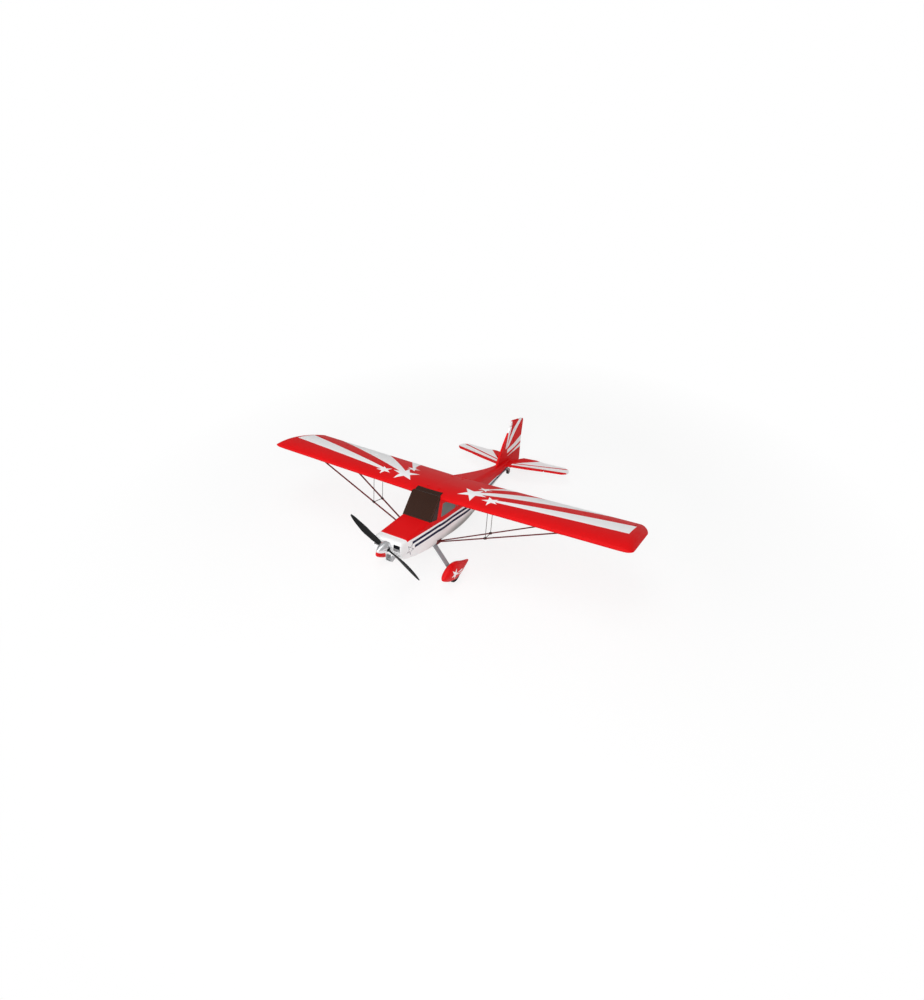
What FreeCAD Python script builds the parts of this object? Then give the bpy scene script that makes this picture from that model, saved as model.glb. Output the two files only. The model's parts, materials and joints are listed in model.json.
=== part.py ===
import FreeCAD, Part
import math
import os

# Radio-controlled high-wing foam aeroplane with a tail-dragger undercarriage.
# Modelled in the thrust-line frame: X to the left wing, Y aft, Z up, the
# propeller turns about Y in the plane Y = 0. All lengths are millimetres.
# At the end every part is set down together on its three wheels.

# ---- wing ----
HALF_SPAN = 700.0
CHORD = 242.0
WING_LE_Y = 229.0
WING_LE_Z = 97.0
INCIDENCE = 3.0
DIHEDRAL = 1.28
CAMBER = 0.03
CAMBER_POS = 0.4
THICKNESS = 0.125
TIP_CAP = 44.0
PANEL_END = HALF_SPAN - TIP_CAP
AILERON_SPAN = 323.0
AILERON_OUT = PANEL_END - 2.0
AILERON_IN = AILERON_OUT - AILERON_SPAN
AILERON_HINGE = 179.0
AILERON_NOSE_R = 7.9
AILERON_TRAVEL = 22.0

# ---- tail ----
STAB_Z = 40.0
TAIL_HALF_THICK = 3.0
ELEVATOR_HINGE_Y = 868.0
FIN_HALF_THICK = 3.8
RUDDER_HINGE_Y = 886.0
RUDDER_BOTTOM_Z = 17.0
FIN_BASE_Z = STAB_Z + TAIL_HALF_THICK
FIN_TOP_Z = 192.0
HORN_GAP = 3.0

# ---- fuselage ----
NOSE_Y = 52.0
SCREEN_BASE_Y = 172.0
SCREEN_TOP_Y = 226.0
TAIL_END_Y = 880.0
FOAM_WALL = 6.0
GLASS_SKIN = 2.0
HATCH_HALF_W = 48.0
HATCH_DEPTH = 8.0
HATCH_LEDGE = 6.0
HATCH_START_Y = 54.0
HATCH_END_Y = 166.0
HATCH_GAP = 0.4

# ---- gaps and fits ----
RUN_FIT = 0.05
COVE_GAP = 0.8
END_GAP = 1.5
SLOT_GAP = 0.5

# ---- hinges of the control surfaces ----
PIN_R = 0.8
KNUCKLE_R = 1.9
KNUCKLE_LEN = 10.0
PIN_REACH = 8.0
LEAF_LEN = 16.0
LEAF_THICK = 1.2

# ---- control linkages ----
ROD_R = 0.8
ARM_THICK = 1.6
AILERON_LEVER = 17.0
ELEVATOR_LEVER = 14.0
RUDDER_LEVER = 16.0
STEER_LEVER = 12.0
ROD_OFFSET = 2.4
ROD_CHANNEL_R = 4.0
AILERON_ARM_X = AILERON_IN + 15.0
AILERON_SERVO_Y = 110.0
ELEVATOR_SERVO = (8.0, 330.0, -8.0)
RUDDER_SERVO = (-8.0, 285.0, -3.0)
ELEVATOR_HORN_X = 20.0
RUDDER_HORN_Z = 27.0

# ---- undercarriage ----
WHEEL_X = 136.0
WHEEL_Y = 216.0
WHEEL_Z = -151.0
WHEEL_R = 30.0
WHEEL_W = 17.0
HUB_R = 18.0
AXLE_R = 2.0
PANT_FLAT_X = 119.5
LEG_THICK = 3.0
LEG_WIDTH = 20.0
LEG_Y = 220.0
LEG_TOP_Z = -71.0
LEG_BEND_X = 50.0
LEG_KNEE_Z = -144.0
TAIL_POST_Y = 852.0
TAIL_WHEEL_Y = 870.0
TAIL_WHEEL_Z = -10.0
TAIL_WHEEL_R = 12.0
TAIL_WHEEL_W = 9.0

# ---- power train ----
SPINNER_R = 18.0
SPINNER_TIP_Y = -41.0
PROP_R = 152.0
PROP_ANGLE = 152.0
PROP_PITCH = 203.0
BLADE_SWEEP = 5.0
SHAFT_R = 2.5
CAN_R = 14.0

# ---- struts ----
STRUT_ROOT_Z = -60.6
STRUT_ROOT_Y = (230.0, 239.0)
STRUT_END = ((AILERON_ARM_X + 127.0, 23.0), (AILERON_ARM_X + 117.0, 119.0))
STRUT_CHORD = 7.0
STRUT_DEPTH = 4.0
JURY_FRACTION = 0.42
BRACKET_X = 58.5


def vec(x, y, z):
    return FreeCAD.Vector(x, y, z)


def box(x0, x1, y0, y1, z0, z1):
    return Part.makeBox(x1 - x0, y1 - y0, z1 - z0, vec(x0, y0, z0))


def rod(start, end, radius):
    way = end - start
    return Part.makeCylinder(radius, way.Length, start, way)


def fused(shapes):
    whole = shapes[0]
    for shape in shapes[1:]:
        whole = whole.fuse(shape)
    return whole.removeSplitter()


def without(shape, tools):
    for tool in tools:
        shape = shape.cut(tool)
    return shape


def mirrored(shape):
    return shape.mirror(vec(0, 0, 0), vec(1, 0, 0))


def both_sides(shape):
    return Part.makeCompound([shape, mirrored(shape)])


def moved(shape, placement):
    copy = shape.copy()
    copy.Placement = placement.multiply(copy.Placement)
    return copy


def frame_at(origin, x_axis, y_axis):
    """Placement that takes local X and Y to the two given directions."""
    z_axis = x_axis.cross(y_axis)
    matrix = FreeCAD.Matrix(
        x_axis.x, y_axis.x, z_axis.x, origin.x,
        x_axis.y, y_axis.y, z_axis.y, origin.y,
        x_axis.z, y_axis.z, z_axis.z, origin.z,
        0, 0, 0, 1,
    )
    return FreeCAD.Placement(matrix)


def rounded_wire(corners, to_point):
    """Closed wire through (u, v, radius) corners, each rounded by its radius."""
    flat = [vec(u, v, 0) for u, v, _ in corners]
    edges = []
    previous_end = None
    first_start = None
    for i, (_, _, radius) in enumerate(corners):
        here = flat[i]
        back = (flat[i - 1] - here).normalize()
        ahead = (flat[(i + 1) % len(flat)] - here).normalize()
        if radius > 0:
            half = back.getAngle(ahead) / 2
            run = radius / math.tan(half)
            start = here + back * run
            end = here + ahead * run
            bisector = (back + ahead).normalize()
            middle = here + bisector * (radius / math.sin(half) - radius)
            arc = [to_point(p.x, p.y) for p in (start, middle, end)]
        else:
            start = end = here
            arc = None
        if previous_end is None:
            first_start = start
        elif (start - previous_end).Length > 1e-6:
            line = (to_point(previous_end.x, previous_end.y), to_point(start.x, start.y))
            edges.append(Part.makeLine(*line))
        if arc:
            edges.append(Part.Arc(*arc).toShape())
        previous_end = end
    line = (to_point(previous_end.x, previous_end.y), to_point(first_start.x, first_start.y))
    edges.append(Part.makeLine(*line))
    return Part.Wire(edges)


def plate_yz(corners, x0, x1):
    """Rounded outline given as (y, z, radius), as thick as x0 to x1."""
    wire = rounded_wire(corners, lambda u, v: vec(x0, u, v))
    return Part.Face(wire).extrude(vec(x1 - x0, 0, 0))


def plate_xy(corners, z0, z1):
    """Rounded outline given as (x, y, radius), as thick as z0 to z1."""
    wire = rounded_wire(corners, lambda u, v: vec(u, v, z0))
    return Part.Face(wire).extrude(vec(0, 0, z1 - z0))


# ---------------------------------------------------------------- wing

def camber_line(t):
    if t < CAMBER_POS:
        return CAMBER / CAMBER_POS ** 2 * (2 * CAMBER_POS * t - t * t)
    rear = (1 - 2 * CAMBER_POS) + 2 * CAMBER_POS * t - t * t
    return CAMBER / (1 - CAMBER_POS) ** 2 * rear


def half_thickness(t):
    series = 0.2969 * math.sqrt(t) - 0.126 * t - 0.3516 * t ** 2
    series += 0.2843 * t ** 3 - 0.1015 * t ** 4
    return 5 * THICKNESS * series


def skin_points(side, chord, thin):
    """Points on the upper (+1) or lower (-1) skin from nose to tail."""
    points = []
    for i in range(17):
        t = (1 - math.cos(math.pi * i / 16)) / 2
        rise = camber_line(t) + side * half_thickness(t)
        points.append((t * chord, rise * chord * thin))
    return points


def airfoil_wire(x, y0, chord, thin):
    """Airfoil section at span station x with its nose at y0."""
    curves = []
    for side in (1, -1):
        spline = Part.BSplineCurve()
        spline.interpolate([vec(x, y0 + y, z) for y, z in skin_points(side, chord, thin)])
        curves.append(spline.toShape())
    tail_top = curves[0].Vertexes[-1].Point
    tail_low = curves[1].Vertexes[-1].Point
    return Part.Wire([curves[0], Part.makeLine(tail_top, tail_low), curves[1]])


def wing_local(x0, x1):
    section = Part.Face(airfoil_wire(x0, 0, CHORD, 1.0))
    return section.extrude(vec(x1 - x0, 0, 0))


def skin_z(y, side):
    t = y / CHORD
    return CHORD * (camber_line(t) + side * half_thickness(t))


def wing_placement():
    tilt = FreeCAD.Placement(vec(0, 0, 0), FreeCAD.Rotation(vec(1, 0, 0), -INCIDENCE))
    rise = FreeCAD.Rotation(vec(0, 1, 0), -DIHEDRAL)
    return FreeCAD.Placement(vec(0, WING_LE_Y, WING_LE_Z), rise).multiply(tilt)


WING = wing_placement()
AILERON_AXIS_Z = CHORD * camber_line(AILERON_HINGE / CHORD)
AILERON_STATIONS = (AILERON_IN + 41, AILERON_IN + 161, AILERON_OUT - 32)
SPAR_Y = 72.0
SLEEVE_END = HALF_SPAN - 140
SPAR_Z = 8.0


def left_only(shape):
    return shape.common(box(0, 900, -200, 1200, -400, 400))


def aileron_span(gap):
    x0 = AILERON_IN - gap
    x1 = AILERON_OUT + gap
    nose_r = AILERON_NOSE_R + (COVE_GAP if gap else 0)
    start = vec(x0, AILERON_HINGE, AILERON_AXIS_Z)
    nose = rod(start, start + vec(x1 - x0, 0, 0), nose_r)
    return x0, x1, nose


def aileron_local():
    x0, x1, nose = aileron_span(0)
    rear = wing_local(x0, x1).common(box(x0, x1, AILERON_HINGE, CHORD + 1, -30, 60))
    return fused([rear, nose])


def panel_local():
    x0, x1, nose = aileron_span(END_GAP)
    panel = wing_local(-4, PANEL_END)
    return without(panel, [box(x0, x1, AILERON_HINGE, CHORD + 5, -30, 60), nose])


def tip_local():
    stations = (
        (0.0, 0.0, CHORD, 1.0),
        (0.32, 0.4, CHORD - 5, 0.98),
        (0.64, 1.6, CHORD - 24, 0.86),
        (0.86, 6.0, CHORD - 49, 0.58),
        (1.0, 14.0, CHORD - 81, 0.22),
    )
    wires = [airfoil_wire(PANEL_END + out * TIP_CAP, y0, chord, thin)
             for out, y0, chord, thin in stations]
    return Part.makeLoft(wires, True, False)


def hinge_leaf(x, y, z):
    """Leaf, knuckle and pin of one hinge; the leaf points forward of the axis."""
    half = KNUCKLE_LEN / 2
    leaf = box(x - half, x + half, y - LEAF_LEN, y, z - LEAF_THICK / 2, z + LEAF_THICK / 2)
    knuckle = rod(vec(x - half, y, z), vec(x + half, y, z), KNUCKLE_R)
    reach = half + PIN_REACH
    pin = rod(vec(x - reach, y, z), vec(x + reach, y, z), PIN_R)
    return fused([leaf, knuckle, pin])


def hinge_room(x, y, z, nose_r):
    """Slot for the knuckle and bore for the pin in a moving surface."""
    half = KNUCKLE_LEN / 2 + SLOT_GAP
    reach = KNUCKLE_LEN / 2 + PIN_REACH + 1
    tall = nose_r + 2
    slot = box(x - half, x + half, y - tall, y + KNUCKLE_R + SLOT_GAP, z - tall, z + tall)
    bore = rod(vec(x - reach, y, z), vec(x + reach, y, z), PIN_R + RUN_FIT)
    return [slot, bore]


# ---------------------------------------------------------------- linkages

def servo_local():
    """Servo whose output turns about Z; the arm lies in the plane Z = 0."""
    case = box(-6, 6, -16, 7, -26, -4)
    ears = box(-6, 6, -20.5, 11.5, -11, -9)
    boss = Part.makeCylinder(5.5, 2, vec(0, 0, -4))
    spline = Part.makeCylinder(2.4, 3.6, vec(0, 0, -2))
    return fused([case, ears, boss, spline])


def arm_local(lever):
    """Servo arm reaching along X, with a hub bore and a hole for the rod end."""
    half = ARM_THICK / 2
    hub = Part.makeCylinder(4.2, ARM_THICK, vec(0, 0, -half))
    outline = [(0, -3.2, 0), (lever + 2.5, -2.0, 1.2), (lever + 2.5, 2.0, 1.2), (0, 3.2, 0)]
    blade = plate_xy(outline, -half, half)
    bore = Part.makeCylinder(2.4 + RUN_FIT, 10, vec(0, 0, -5))
    hole = Part.makeCylinder(ROD_R + RUN_FIT, 10, vec(lever, 0, -5))
    return without(fused([hub, blade]), [bore, hole])


def pushrod(near, far, axis):
    """Wire between two pivots, its ends bent along the pivot axis."""
    lift = axis * ROD_OFFSET
    tail = axis * 1.5
    near_leg = rod(near - tail, near + lift, ROD_R)
    far_leg = rod(far - tail, far + lift, ROD_R)
    wire = rod(near + lift, far + lift, ROD_R)
    elbows = [Part.makeSphere(ROD_R, near + lift), Part.makeSphere(ROD_R, far + lift)]
    return fused([near_leg, wire, far_leg] + elbows)


def aileron_pivots():
    arm = vec(AILERON_ARM_X, AILERON_SERVO_Y, 0)
    drop = vec(0, 0, -AILERON_LEVER)
    horn = vec(AILERON_ARM_X, AILERON_HINGE, AILERON_AXIS_Z)
    return arm, arm + drop, horn + drop


def aileron_servo_frame():
    arm, _, _ = aileron_pivots()
    return frame_at(arm, vec(0, 0, -1), vec(0, 1, 0))


def horn_plate_yz(x, pin, root, axis):
    """Horn plate in a YZ plane from its pin hole back to its root points."""
    y, z = pin.y, pin.z
    outline = [(y - 2.6, z - 2.4, 1.2), (y + 2.6, z - 2.4, 1.2)]
    outline += [(root[0], root[2], 0), (root[0], root[2] + 1.6, 0), (root[1], root[2] + 1.6, 0)]
    plate = plate_yz(outline, x - ARM_THICK / 2, x + ARM_THICK / 2)
    hole_r = ROD_R + RUN_FIT
    return plate.cut(rod(pin - axis * 6, pin + axis * 6, hole_r))


def elevator_pivots():
    arm = vec(*ELEVATOR_SERVO)
    drop = vec(0, 0, -ELEVATOR_LEVER)
    horn = vec(ELEVATOR_HORN_X, ELEVATOR_HINGE_Y, STAB_Z)
    return arm, arm + drop, horn + drop


def rudder_pivots():
    arm = vec(*RUDDER_SERVO)
    side = vec(-RUDDER_LEVER, 0, 0)
    horn = vec(0, RUDDER_HINGE_Y, RUDDER_HORN_Z)
    return arm, arm + side, horn + side


def steering_pivots():
    post = vec(STEER_LEVER, TAIL_POST_Y, 6.5)
    tiller = vec(STEER_LEVER, RUDDER_HINGE_Y, RUDDER_BOTTOM_Z - 0.8)
    return post, tiller


def steering_link():
    """Bent wire from the tail wheel's arm up to the tiller under the rudder."""
    post, tiller = steering_pivots()
    low = post + vec(0, 0, 3.4)
    high = tiller - vec(0, 0, 2.4)
    legs = [rod(post - vec(0, 0, 2), low, ROD_R), rod(high, tiller + vec(0, 0, 0.6), ROD_R)]
    elbows = [Part.makeSphere(ROD_R, low), Part.makeSphere(ROD_R, high)]
    return fused([legs[0], rod(low, high, ROD_R), legs[1]] + elbows)


# ---------------------------------------------------------------- fuselage

# station y, half width, bottom z, top z, bottom corner radius, top corner radius
NOSE_STATIONS = (
    (NOSE_Y, 54.0, -53.0, 22.0, 18.0, 8.0),
    (110.0, 55.0, -65.5, 28.5, 18.0, 8.0),
    (SCREEN_BASE_Y, 56.0, -72.5, 35.0, 18.0, 8.0),
)
SCREEN_STATIONS = (
    NOSE_STATIONS[-1],
    (SCREEN_TOP_Y, 56.0, -75.0, 108.0, 18.0, 9.0),
)
REAR_STATIONS = (
    SCREEN_STATIONS[-1],
    (310.0, 56.0, -72.5, 108.0, 18.0, 12.0),
    (400.0, 56.0, -69.0, 100.0, 18.0, 16.0),
    (471.0, 54.0, -55.5, 86.0, 17.0, 20.0),
    (560.0, 43.0, -36.0, 71.0, 14.0, 20.0),
    (680.0, 26.0, -12.0, 54.5, 9.0, 16.0),
    (800.0, 15.0, 9.5, 46.5, 6.0, 9.0),
    (884.0, 8.5, 20.0, 45.0, 4.0, 5.0),
)
COWL_STATIONS = (
    (11.0, 52.0, -24.0, 15.5, 8.0, 5.0),
    (16.0, 53.0, -30.0, 18.5, 12.0, 7.0),
    (30.0, 53.6, -42.0, 20.5, 17.0, 8.0),
    NOSE_STATIONS[0],
)


def hull_wire(station, inset):
    y, half_w, low, high, r_low, r_high = station
    x = half_w - inset
    low += inset
    high -= inset
    r_low = max(r_low - inset, 2.0)
    r_high = max(r_high - inset, 2.0)
    corners = [(-x, low, r_low), (x, low, r_low), (x, high, r_high), (-x, high, r_high)]
    return rounded_wire(corners, lambda u, v: vec(u, y, v))


def hull_loft(stations, inset, straight):
    wires = [hull_wire(station, inset) for station in stations]
    return Part.makeLoft(wires, True, straight)


def hull_solid(inset):
    nose = hull_loft(NOSE_STATIONS, inset, False)
    screen = hull_loft(SCREEN_STATIONS, inset, True)
    rear = hull_loft(REAR_STATIONS, inset, False)
    return nose.fuse(screen).fuse(rear)


def hull_cavity():
    """Hollow of the fuselage, from the nose bulkhead to the solid tail."""
    inner = hull_solid(FOAM_WALL)
    span = box(-80, 80, NOSE_Y + FOAM_WALL, 800, -200, 200)
    return inner.common(span)


def hatch_outline(drop, rise, grow):
    """Side outline of the hatch: the nose deck's slope moved down by drop."""
    front = NOSE_STATIONS[0][3]
    back = NOSE_STATIONS[-1][3]
    slope = (back - front) / (SCREEN_BASE_Y - NOSE_Y)
    y0 = HATCH_START_Y - grow
    y1 = HATCH_END_Y + grow
    z0 = front + slope * (y0 - NOSE_Y)
    z1 = front + slope * (y1 - NOSE_Y)
    return [(y0, z0 - drop, 0), (y1, z1 - drop, 0), (y1, z1 + rise, 0), (y0, z0 + rise, 0)]


def hatch_seat():
    return plate_yz(hatch_outline(HATCH_DEPTH, 40, 0), -HATCH_HALF_W, HATCH_HALF_W)


def hatch_throat():
    half = HATCH_HALF_W - HATCH_LEDGE
    return plate_yz(hatch_outline(30, 40, -HATCH_LEDGE), -half, half)


def hatch_ledges():
    half = HATCH_HALF_W - HATCH_LEDGE
    side = plate_yz(hatch_outline(HATCH_DEPTH + HATCH_LEDGE, 40, 6), half, 80)
    return both_sides(side)


def hatch():
    half = HATCH_HALF_W - HATCH_GAP
    block = plate_yz(hatch_outline(HATCH_DEPTH, 40, -HATCH_GAP), -half, half)
    return hull_solid(0).common(block)


def screen_region():
    y = SCREEN_BASE_Y
    outline = [(y, 34.5, 0), (213, 28, 0), (228.5, 104, 0)]
    outline += [(256, 104, 0), (256, 130, 0), (y, 130, 0)]
    return plate_yz(outline, -80, 80)


def window_regions():
    front = plate_yz([(236, 30, 4), (334, 30, 4), (334, 78, 4), (243, 78, 4)], 30, 80)
    rear = plate_yz([(343, 30, 4), (404, 32, 6), (424, 77, 5), (343, 78, 4)], 30, 80)
    return [front, rear, mirrored(front), mirrored(rear)]


def glass_skin():
    return hull_solid(0).cut(hull_solid(GLASS_SKIN))


def wing_bay():
    """Everything above the wing's lower skin, where the wing rests."""
    lower = Part.BSplineCurve()
    lower.interpolate([vec(-4, y, z) for y, z in skin_points(-1, CHORD, 1.0)])
    edge = lower.toShape()
    nose = edge.Vertexes[0].Point
    tail = edge.Vertexes[-1].Point
    top_tail = vec(-4, CHORD + 2, 80)
    corners = [tail, vec(-4, CHORD + 2, tail.z), top_tail, vec(-4, 0, 80), nose]
    face = Part.Face(Part.Wire([edge] + Part.makePolygon(corners).Edges))
    left = left_only(moved(face.extrude(vec(90, 0, 0)), WING))
    return both_sides(left)


def windshield(wing_pair):
    """Bent clear sheet with a lip over the wing's leading edge."""
    sheet = glass_skin().common(screen_region())
    lips = []
    for wing in wing_pair:
        raised = wing.translated(vec(0, -0.4, 1.2))
        lips.append(raised.common(box(-50, 50, 231, 252, 104, 140)))
    return without(fused([sheet] + lips), wing_pair)


def side_windows():
    skin = glass_skin()
    return Part.makeCompound([skin.common(region) for region in window_regions()])


def cowl():
    outer = hull_loft(COWL_STATIONS, 0, False)
    inner_stations = [(13.0,) + COWL_STATIONS[0][1:]] + list(COWL_STATIONS[1:])
    inner = hull_loft(inner_stations, 2.0, False)
    inlet = plate_xz([(25, -10, 2), (50, -10, 2), (50, 12.5, 2), (25, 12.5, 2)], 0, 22)
    shaft = Part.makeCylinder(15, 30, vec(0, 0, 0), vec(0, 1, 0))
    scoop, throat = chin_scoop()
    return without(outer.fuse(scoop), [inner, both_sides(inlet), shaft, throat])


def chin_scoop():
    """Air scoop under the nose and the passage from its mouth into the cowl."""
    outline = [(22, -30, 0), (22, -61, 4), (30, -63, 4), (50, -55, 0), (50, -40, 0)]
    scoop = plate_yz(outline, -11, 11)
    inside = [(10, -34, 0), (10, -59, 0), (30, -61, 4), (46, -54.5, 0), (46, -40, 0)]
    return scoop, plate_yz(inside, -9, 9)


def plate_xz(corners, y0, y1):
    """Rounded outline given as (x, z, radius), as thick as y0 to y1."""
    wire = rounded_wire(corners, lambda u, v: vec(u, y0, v))
    return Part.Face(wire).extrude(vec(0, y1 - y0, 0))


# ---------------------------------------------------------------- tail

def fin_blank():
    outline = [(746, FIN_BASE_Z, 0), (752, 58, 20), (796, 131, 60), (840, 187, 12)]
    outline += [(850, FIN_TOP_Z, 4), (RUDDER_HINGE_Y, FIN_TOP_Z, 0)]
    outline += [(RUDDER_HINGE_Y, FIN_BASE_Z, 0)]
    return plate_yz(outline, -FIN_HALF_THICK, FIN_HALF_THICK)


def rudder_nose(radius):
    start = vec(0, RUDDER_HINGE_Y, RUDDER_BOTTOM_Z)
    return rod(start, vec(0, RUDDER_HINGE_Y, FIN_TOP_Z + HORN_GAP + 4), radius)


def fin():
    return fin_blank().cut(rudder_nose(FIN_HALF_THICK + COVE_GAP))


def rudder():
    y = RUDDER_HINGE_Y
    low = FIN_TOP_Z + HORN_GAP
    outline = [(y, RUDDER_BOTTOM_Z, 0), (962, RUDDER_BOTTOM_Z, 8), (958, 80, 30)]
    outline += [(955, 125, 30), (960, 207, 12), (862, 216, 20), (838, 209, 6), (843, low, 4)]
    outline += [(y, low, 0)]
    blade = plate_yz(outline, -FIN_HALF_THICK, FIN_HALF_THICK)
    return fused([blade, rudder_nose(FIN_HALF_THICK)])


def stab_nose(x0, x1, radius):
    start = vec(x0, ELEVATOR_HINGE_Y, STAB_Z)
    return rod(start, vec(x1, ELEVATOR_HINGE_Y, STAB_Z), radius)


STAB_HALF = 166.0
ELEVATOR_IN = 15.0
ELEVATOR_NOTCH = STAB_HALF + 2.5
TAIL_TIP_X = STAB_HALF + 91.0
JOINER_R = 1.5


def stabiliser():
    y = ELEVATOR_HINGE_Y
    half = [(STAB_HALF - 60, 821, 60), (STAB_HALF, 842, 3), (STAB_HALF, y, 0)]
    outline = [(0, 792, 40)] + half + [(-u, v, r) for u, v, r in reversed(half)]
    low = STAB_Z - TAIL_HALF_THICK
    blank = plate_xy(outline, low, STAB_Z + TAIL_HALF_THICK)
    return blank.cut(stab_nose(-STAB_HALF - 30, STAB_HALF + 30, TAIL_HALF_THICK + COVE_GAP))


def elevator():
    """Two halves joined by a wire along the hinge axis."""
    y = ELEVATOR_HINGE_Y
    tip = TAIL_TIP_X
    outline = [(ELEVATOR_IN, y, 0), (ELEVATOR_NOTCH, y, 0), (ELEVATOR_NOTCH, 844, 3)]
    outline += [(tip - 17, 864, 14), (tip, 884, 14), (tip - 4, 914, 14), (tip - 32, 932, 12)]
    outline += [(140, 926, 30), (96, 935, 20), (42, 926, 6)]
    low = STAB_Z - TAIL_HALF_THICK
    half = plate_xy(outline, low, STAB_Z + TAIL_HALF_THICK)
    half = fused([half, stab_nose(ELEVATOR_IN, ELEVATOR_NOTCH, TAIL_HALF_THICK)])
    halves = [half, mirrored(half), stab_nose(-ELEVATOR_IN - 20, ELEVATOR_IN + 20, JOINER_R)]
    return fused(halves)


ELEVATOR_STATIONS = (52.0, 140.0)
RUDDER_STATIONS = (70.0, 120.0, 172.0)
FIN_FRAME = frame_at(vec(0, RUDDER_HINGE_Y, 0), vec(0, 0, 1), vec(0, 1, 0))


# ---------------------------------------------------------------- wheels

def revolved_tyre(radius, inner, width):
    tyre = Part.makeCylinder(radius, width, vec(-width / 2, 0, 0), vec(1, 0, 0))
    rims = [e for e in tyre.Edges if e.Closed]
    tyre = tyre.makeFillet(width * 0.32, rims)
    return tyre.cut(Part.makeCylinder(inner, width * 2, vec(-width, 0, 0), vec(1, 0, 0)))


def wheel_hub(radius, width, bore):
    hub = Part.makeCylinder(radius, width, vec(-width / 2, 0, 0), vec(1, 0, 0))
    return hub.cut(Part.makeCylinder(bore, width * 2, vec(-width, 0, 0), vec(1, 0, 0)))


def main_wheel_parts():
    centre = vec(WHEEL_X, WHEEL_Y, WHEEL_Z)
    tyre = revolved_tyre(WHEEL_R, HUB_R, WHEEL_W).translated(centre)
    hub = wheel_hub(HUB_R, WHEEL_W - 2, AXLE_R + RUN_FIT).translated(centre)
    return tyre, hub


def wheel_pant():
    """Teardrop wheel fairing with a well for the wheel, open below."""
    stations = (
        (139.0, -138.5, 5.0, 4.5),
        (146.0, -138.0, 11.0, 9.5),
        (158.0, -136.5, 19.0, 14.0),
        (172.0, -135.5, 26.5, 16.5),
        (190.0, -135.5, 32.0, 18.0),
        (218.0, -138.0, 33.0, 18.0),
        (250.0, -140.0, 23.5, 14.0),
        (282.0, -139.0, 11.5, 8.0),
        (305.0, -138.0, 3.0, 3.0),
    )
    wires = []
    for y, z, half_h, half_w in stations:
        curve = Part.Ellipse(vec(0, 0, 0), half_h, half_w)
        wire = Part.Wire([curve.toShape()])
        wires.append(moved(wire, frame_at(vec(WHEEL_X, y, z), vec(0, 0, 1), vec(1, 0, 0))))
    body = Part.makeLoft(wires, True, False)
    gap = 2.5
    x0 = WHEEL_X - WHEEL_W / 2 - 1.6
    x1 = WHEEL_X + WHEEL_W / 2 + 1.6
    round_well = rod(vec(x0, WHEEL_Y, WHEEL_Z), vec(x1, WHEEL_Y, WHEEL_Z), WHEEL_R + gap)
    reach = WHEEL_R + gap
    mouth = box(x0, x1, WHEEL_Y - reach, WHEEL_Y + reach, -260, WHEEL_Z)
    flat = box(80, PANT_FLAT_X, 100, 330, -200, -80)
    return without(body, [round_well, mouth, flat])


def gear_leg():
    """Flat strip: a tab under the belly, a sloping leg and an upright foot."""
    top = LEG_TOP_Z
    low = top - LEG_THICK
    slope = math.atan2(top - LEG_KNEE_Z, PANT_FLAT_X - LEG_BEND_X)
    drop = LEG_THICK / math.cos(slope)
    bend_in = LEG_BEND_X - (drop - LEG_THICK) / math.tan(slope)
    knee_in = LEG_KNEE_Z + LEG_THICK * math.tan(slope) - drop
    foot_in = PANT_FLAT_X - LEG_THICK
    foot_z = WHEEL_Z - 8
    outline = [(4, low, 0), (bend_in, low, 3), (foot_in, knee_in, 3), (foot_in, foot_z, 0)]
    outline += [(PANT_FLAT_X, foot_z, 0), (PANT_FLAT_X, LEG_KNEE_Z, 6), (LEG_BEND_X, top, 6)]
    outline += [(4, top, 0)]
    return plate_xz(outline, LEG_Y - LEG_WIDTH / 2, LEG_Y + LEG_WIDTH / 2)


def axle():
    """Bolt through the leg's foot, the wheel and both walls of the fairing."""
    start = PANT_FLAT_X - LEG_THICK - 3
    end = WHEEL_X + WHEEL_W / 2 + 4
    shank = rod(vec(start, WHEEL_Y, WHEEL_Z), vec(end, WHEEL_Y, WHEEL_Z), AXLE_R)
    head = rod(vec(start, WHEEL_Y, WHEEL_Z), vec(start + 3, WHEEL_Y, WHEEL_Z), 4.0)
    return fused([shank, head])


def gear_screws():
    screws = []
    low = LEG_TOP_Z - LEG_THICK
    for x in (14.0, 30.0):
        shank = rod(vec(x, LEG_Y, low), vec(x, LEG_Y, LEG_TOP_Z + 7), 1.5)
        head = rod(vec(x, LEG_Y, low - 2), vec(x, LEG_Y, low), 3.0)
        screws.append(fused([shank, head]))
    return Part.makeCompound(screws + [mirrored(s) for s in screws])


def gear_recess():
    """Open channel in the belly below the tabs of the two legs."""
    half = LEG_BEND_X - 1.5
    reach = LEG_WIDTH / 2
    return box(-half, half, LEG_Y - reach, LEG_Y + reach, -120, LEG_TOP_Z - LEG_THICK)


def gear_block():
    reach = LEG_WIDTH / 2 + 4
    return box(-40, 40, LEG_Y - reach, LEG_Y + reach, LEG_TOP_Z, LEG_TOP_Z + 9)


def tail_bracket():
    plate = box(-5, 5, 806, TAIL_POST_Y + 6, 11.5, 14.5)
    sleeve = rod(vec(0, TAIL_POST_Y, 9), vec(0, TAIL_POST_Y, 14), 3.4)
    bore = rod(vec(0, TAIL_POST_Y, 0), vec(0, TAIL_POST_Y, 30), 1.5 + RUN_FIT)
    return fused([plate, sleeve]).cut(bore)


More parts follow.
